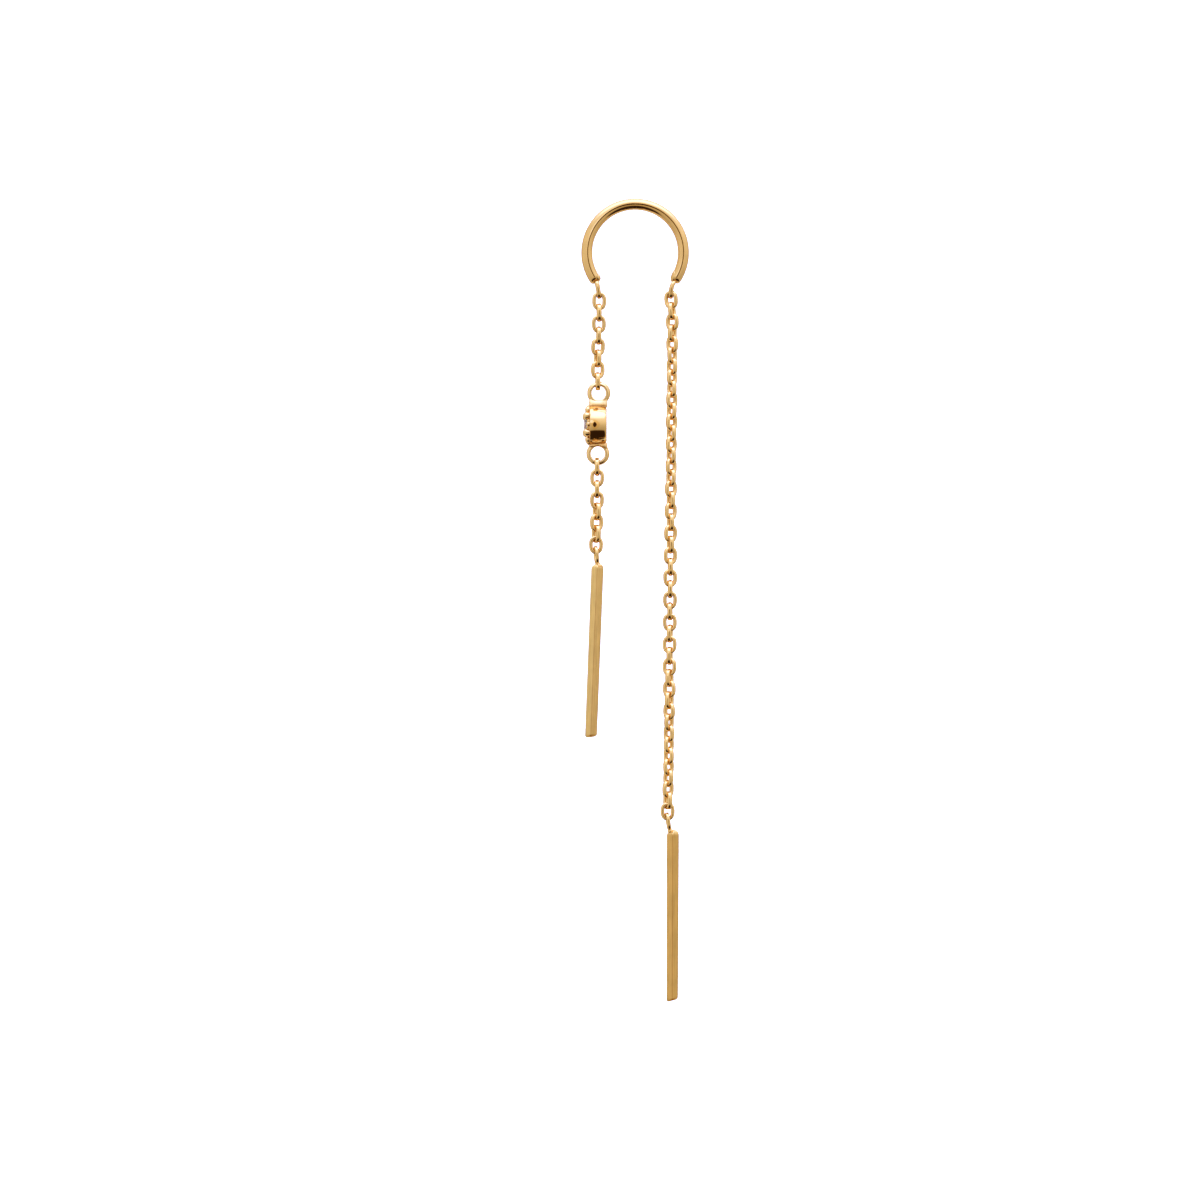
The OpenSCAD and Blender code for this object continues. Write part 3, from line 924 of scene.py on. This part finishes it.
def hanging_bar(sizes, length, end_cut, taper):
    """A square bar seen on its edge, down from z = 0. In its section the radius at angle a is the
    smaller of the flat's, side / 2 / cos(angle from the flat's middle), and half the width across the
    edges. The points lie closer where edge and flat meet. The top is a dome, with its peak off to +x:
    scale^p + (1 - z/s)^p = 1 over the shoulder s. The lower end slopes with x and y, is slightly
    dished, and has a few faint rings. Painted shade darkens its edges, its dish and a patch on the rounding of its
    front edge."""
    quarter = math.pi / 2
    edge = quarter / 2 - math.acos(sizes.side / sizes.across)
    on_edge = np.linspace(-edge, edge, 9)
    on_flat = quarter / 2 + (quarter / 2 - edge) * FLAT_PLACES
    a = (np.concatenate([on_edge, on_flat]) + quarter * np.arange(4)[:, None]).ravel()
    from_flat = np.abs(a % quarter - quarter / 2)
    section = np.minimum(sizes.side / 2 / np.cos(from_flat), sizes.across / 2)

    bend = np.linspace(0, math.pi / 2, 9)
    dome = 1 - np.cos(np.linspace(0.12, math.pi / 2, 16))
    dome_scale = (1 - (1 - dome) ** DOME_POWER) ** (1 / DOME_POWER)
    rings_from = length - RINGS_REACH
    plain_z = np.linspace(SHOULDER, rings_from, 50)[1:-1]
    ring_z = np.linspace(rings_from, length - 1.3 * END_ROUNDING, 30)
    ring_wave = 1 - np.cos(2 * math.pi * (ring_z - rings_from) / RING_SPACING)
    end_z = length - np.concatenate([END_ROUNDING * (1 - np.sin(bend)), DISH_DEPTHS])
    end_scale = np.concatenate([1 - END_ROUNDING / (sizes.across / 2) * (1 - np.cos(bend)), DISH_RADII])
    z = np.concatenate([SHOULDER * dome, plain_z, ring_z, end_z])[:, None]
    scale = np.concatenate([
        dome_scale, np.ones(len(plain_z)), 1 - RING_DEPTH / sizes.across * ring_wave, end_scale,
    ])[:, None] * (1 - taper * z / length)

    x = scale * section * np.cos(a + SECTION_TURN)
    y = scale * section * np.sin(a + SECTION_TURN)
    x[:len(dome)] += DOME_SHIFT * (1 - dome_scale)[:, None]
    slope = smooth_step(z, length - 0.45 * MM, length - 0.1 * MM)
    drop = z - slope * (x * math.tan(end_cut) - y * math.tan(END_LEAN))
    poles = np.array([[DOME_SHIFT, 0, 0], [0, 0, DISH - length]])
    satin = smooth_step(z, 0.1 * MM, 0.5 * MM)
    # Painted shade: a dark line along each edge where the bar is satin, a dark patch on the front edge's rounding
    # near the end, and the middle of the dish.
    on_edges = np.tile(np.repeat([1, 0], [len(on_edge), len(on_flat)]), 4)
    end_shade = END_PAINTED_SHADE * np.exp(-((z - length + END_SHADE_RISE) / END_SHADE_HEIGHT) ** 2 - (x / END_SHADE_WIDTH) ** 2)
    painted_shade_and_matt = np.maximum(EDGE_PAINTED_SHADE * on_edges * satin, end_shade * (y < 0))
    painted_shade_and_matt[-2:] = DISH_PAINTED_SHADE
    return closed_grid(stacked(x, y, -drop), stacked(x, y, z) / MM, poles=poles, painted_shade_and_matt=painted_shade_and_matt, satin=satin)


class EARRING_OT_bars(Operator):
    """Two square bars, each with its own link soldered on top"""
    bl_idname = "earring.bars"
    bl_label = "Bars"

    def execute(self, context):
        bars = context.scene.earring_bar
        chain = context.scene.earring_chain
        finish = context.scene.earring_finish
        own_link = link_shape(END_LINK_LENGTH, chain.width, END_LINK_WIRE, END_LINK_WIRE, chain.end_depth)
        for name, colour, length, lean in (
            ("front_bar", finish.front_bar_gold, bars.front_length, bars.front_lean),
            ("back_bar", finish.back_bar_gold_painted_shade, bars.back_length, bars.back_lean),
        ):
            # The bar's polished top takes the lighter chain gold, with painted light; its satin part takes the
            # bar's own colour, on the back bar a darker copy with painted shade.
            gold = gold_finish(name + "_gold", finish.chain_gold, 0.1, 0.09, 0.0015, colour)
            hung = HUNG[name]
            up = turned_y(UPRIGHT, math.radians(hung["link_lean"]))
            centre = hung["pivot"] + OWN_LINK_Z * up
            link = placed_link(own_link, centre, up, math.radians(hung["link_turn"]))
            bar = hanging_bar(bars, length, math.radians(hung["end_cut"]), hung["taper"])
            top = hung["pivot"] + np.array([hung["shift"], 0, OWN_LINK_Z - END_LINK_LENGTH / 2 + SOLDER])
            placed = moved(bar, turned_y(bar.points, lean) + top)
            foot = centre - up * (END_LINK_LENGTH / 2 - FOOT_SOLDER_RISE)
            solder = blob(foot + FOOT_SOLDER_SHIFT, FOOT_SOLDER_SIZE)
            make_piece(name + "_gold", [placed, link, solder], name, [name], gold)
        return {"FINISHED"}


# Stage. A patch of light or shade has its centre and its reach, each as two parts of a direction.

CAMERA_DISTANCE = 0.3
PIXEL = 0.09 * MM
FRAME_CENTRE_X = (600 - 635.1) * PIXEL
FRAME_CENTRE_Z = (209.8 - 600) * PIXEL
FLOOR_Z = -0.085
FLOOR_GLOW = 0.35
FLAT_RINGS = 8
SWEEP_AROUND = 96
SWEEP_RADIUS = 0.9
SWEEP_CORNER = 0.4
WALL_TOP = 1.6
WINDOW = ((-0.22, 0.3), (0.17, 0.13))
TABLE = ((0.04, -0.25), (0.62, 0.57))
LENS = ((0.02, 0.0), (0.16, 0.27))
LENS_RIM = ((0.02, 0.0), (0.26, 0.5))
TABLE_LEFT = 0.075
LENS_LEFT = 0.06
DIMMEST = (1, 0.45, 0.18, 1)
WARM_STEPS = ((0.25, (1, 0.8, 0.55, 1)), (0.55, (1, 0.94, 0.78, 1)))
PLAIN_FROM = 0.8
WHITE = (1, 1, 1)
COOL_TINT = (0.8, 1.0, 1.7)
BEHIND_TINT = (1.0, 0.86, 0.62)
LENS_TINT = (1.0, 0.86, 0.6)


class EARRING_OT_stage(Operator):
    """Plain pale floor that rises into a wall all round, soft studio light, and the camera"""
    bl_idname = "earring.stage"
    bl_label = "Stage"

    def execute(self, context):
        self.sweep(context)
        self.studio_light(context)
        self.camera(context)
        context.scene.view_settings.view_transform = "Standard"
        return {"FINISHED"}

    def sweep(self, context):
        """A round sweep: flat in the middle, then radius R + c sin t and height c (1 - cos t) in its
        corner, then a straight wall."""
        flat = np.linspace(0.05, 1, FLAT_RINGS) * (SWEEP_RADIUS - SWEEP_CORNER)
        t = np.linspace(0, math.pi / 2, 20)[1:]
        radius = np.concatenate([flat, flat[-1] + SWEEP_CORNER * np.sin(t), [SWEEP_RADIUS]])[:, None]
        height = np.concatenate([np.zeros(FLAT_RINGS), SWEEP_CORNER * (1 - np.cos(t)), [WALL_TOP]])[:, None]
        a = round_steps(SWEEP_AROUND)
        rings = stacked(radius * np.cos(a), radius * np.sin(a), FLOOR_Z + height)
        points = rings.reshape(-1, 3).tolist() + [(0, 0, FLOOR_Z)]
        faces = grid_faces(len(radius), SWEEP_AROUND, False).tolist()
        faces += fan(len(points) - 1, np.arange(SWEEP_AROUND)).tolist()
        mesh = bpy.data.meshes.new("studio_sweep")
        mesh.from_pydata(points, [], faces)
        mesh.polygons.foreach_set("use_smooth", np.full(len(faces), True))
        mesh.materials.append(self.floor_finish(context))
        sweep = bpy.data.objects.new("studio_sweep", mesh)
        context.scene.collection.objects.link(sweep)
        for ray in ("visible_glossy", "visible_diffuse", "visible_transmission", "visible_shadow"):
            setattr(sweep, ray, False)

    def floor_finish(self, context):
        """Matt white card, evenly lit."""
        material, graph, shader = new_material("white_card")
        colour = context.scene.earring_finish.floor
        graph.fill(shader, {
            "Base Color": colour,
            "Roughness": 1.0,
            "Specular IOR Level": 0.0,
            "Emission Color": colour,
            "Emission Strength": FLOOR_GLOW,
        })
        return material

    def studio_light(self, context):
        """Light from all round by direction: a broad soft light overhead and in front, a paler level
        ring, warm behind, a dark table below and in front, and the dark of the lens straight ahead."""
        world = bpy.data.worlds.new("soft_studio")
        context.scene.world = world
        world.use_nodes = True
        light = Graph(world.node_tree)
        direction = light.node("TexCoord", {}, "Generated")
        x, y, z = light.node("SeparateXYZ", {0: direction}).node.outputs
        slope = light.add(
            light.times(x, light.soft(z, -0.1, 0.1, 0.05, 0.27)),
            light.soft(z, -0.1, 0.1, 0.35, 0.47),
            light.times(y, -0.2),
        )
        ring = light.add(light.times(x, -0.035), 0.82, light.times(z, slope))
        over = light.add(z, light.times(x, x, -0.15))
        overhead = light.times(light.soft(over, 0.5, 0.88), light.soft(y, 0.5, 0.0), 1.2)
        beyond = light.times(light.soft(z, 0.4, 0.7), light.soft(y, 0.1, 0.45), 0.5)
        glow = light.times(light.soft(z, -0.3, -0.8), light.soft(y, 0.15, 0.45), 0.4)
        window = light.times(self.oval(light, x, z, WINDOW, light.soft(y, -0.5, -0.7)), 0.55)
        table = self.oval(light, x, y, TABLE, light.soft(z, 0.0, -0.2))
        lens = self.oval(light, x, z, LENS, light.soft(y, -0.8, -0.9))
        all_round = light.times(light.add(ring, glow, beyond), light.soft(y, 0.35, 0.85, 1.0, 0.72))
        strength = light.times(
            light.add(all_round, overhead, window),
            light.soft(table, 0, 1, 1, TABLE_LEFT),
            light.soft(lens, 0, 1, 1, LENS_LEFT),
        )
        warmth = light.node("ValToRGB", {0: strength}, "Color")
        ramp = warmth.node.color_ramp.elements
        ramp[0].color = DIMMEST
        ramp[1].position, ramp[1].color = PLAIN_FROM, (*WHITE, 1)
        for position, colour in WARM_STEPS:
            ramp.new(position).color = colour
        tint = light.mix(light.soft(strength, 0.75, 1.9), warmth, COOL_TINT)
        rim = self.oval(light, x, z, LENS_RIM, light.soft(y, -0.7, -0.85))
        for share, colour in ((light.soft(y, 0.4, 0.8), BEHIND_TINT), (rim, LENS_TINT)):
            tint = light.mix(1.0, tint, light.mix(share, WHITE, colour), "MULTIPLY")
        light.fill(world.node_tree.nodes["Background"], {"Color": tint, "Strength": strength})

    def oval(self, graph, first, second, patch, facing):
        """1 inside an oval patch of directions and 0 outside, with a soft edge, on one side of the sphere."""
        squares = []
        for value, middle, half in zip((first, second), *patch):
            offset = graph.times(graph.add(value, -middle), 1 / half)
            squares.append(graph.times(offset, offset))
        return graph.times(graph.soft(graph.add(*squares), 1.25, 0.75), facing)

    def camera(self, context):
        """Looks level along +Y. One pixel of the picture is the named size at the earring."""
        data = bpy.data.cameras.new("studio_camera")
        data.lens = 100
        data.sensor_width = 36
        data.clip_start = 0.01
        data.clip_end = 20
        camera = bpy.data.objects.new("studio_camera", data)
        camera.location = (FRAME_CENTRE_X, -CAMERA_DISTANCE, FRAME_CENTRE_Z)
        camera.rotation_euler = (math.pi / 2, 0, 0)
        context.scene.collection.objects.link(camera)
        context.scene.camera = camera


# Panel and running

class EARRING_PT_parts(Panel):
    bl_label = "Earring"
    bl_idname = "EARRING_PT_parts"
    bl_space_type = "VIEW_3D"
    bl_region_type = "UI"
    bl_category = "Earring"

    def draw(self, context):
        for operator, settings in STEPS:
            box = self.layout.box()
            box.operator(operator.bl_idname)
            group = getattr(context.scene, settings)
            for name in group.__annotations__:
                box.prop(group, name)


STEPS = (
    (EARRING_OT_ear_hook, "earring_hook"),
    (EARRING_OT_chains, "earring_chain"),
    (EARRING_OT_setting, "earring_setting"),
    (EARRING_OT_stone, "earring_stone"),
    (EARRING_OT_bars, "earring_bar"),
    (EARRING_OT_stage, "earring_finish"),
)
GROUPS = {
    "earring_hook": HookSizes,
    "earring_chain": ChainSizes,
    "earring_setting": SettingSizes,
    "earring_stone": StoneSizes,
    "earring_bar": BarSizes,
    "earring_finish": Finish,
}


def register():
    for name, group in GROUPS.items():
        bpy.utils.register_class(group)
        setattr(bpy.types.Scene, name, PointerProperty(type=group))
    for operator, _ in STEPS:
        bpy.utils.register_class(operator)
    bpy.utils.register_class(EARRING_PT_parts)


def unregister():
    bpy.utils.unregister_class(EARRING_PT_parts)
    for operator, _ in reversed(STEPS):
        bpy.utils.unregister_class(operator)
    for name, group in GROUPS.items():
        delattr(bpy.types.Scene, name)
        bpy.utils.unregister_class(group)


def main():
    register()
    for operator, _ in STEPS:
        area, action = operator.bl_idname.split(".")
        getattr(getattr(bpy.ops, area), action)()
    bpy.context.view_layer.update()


if __name__ == "__main__":
    main()
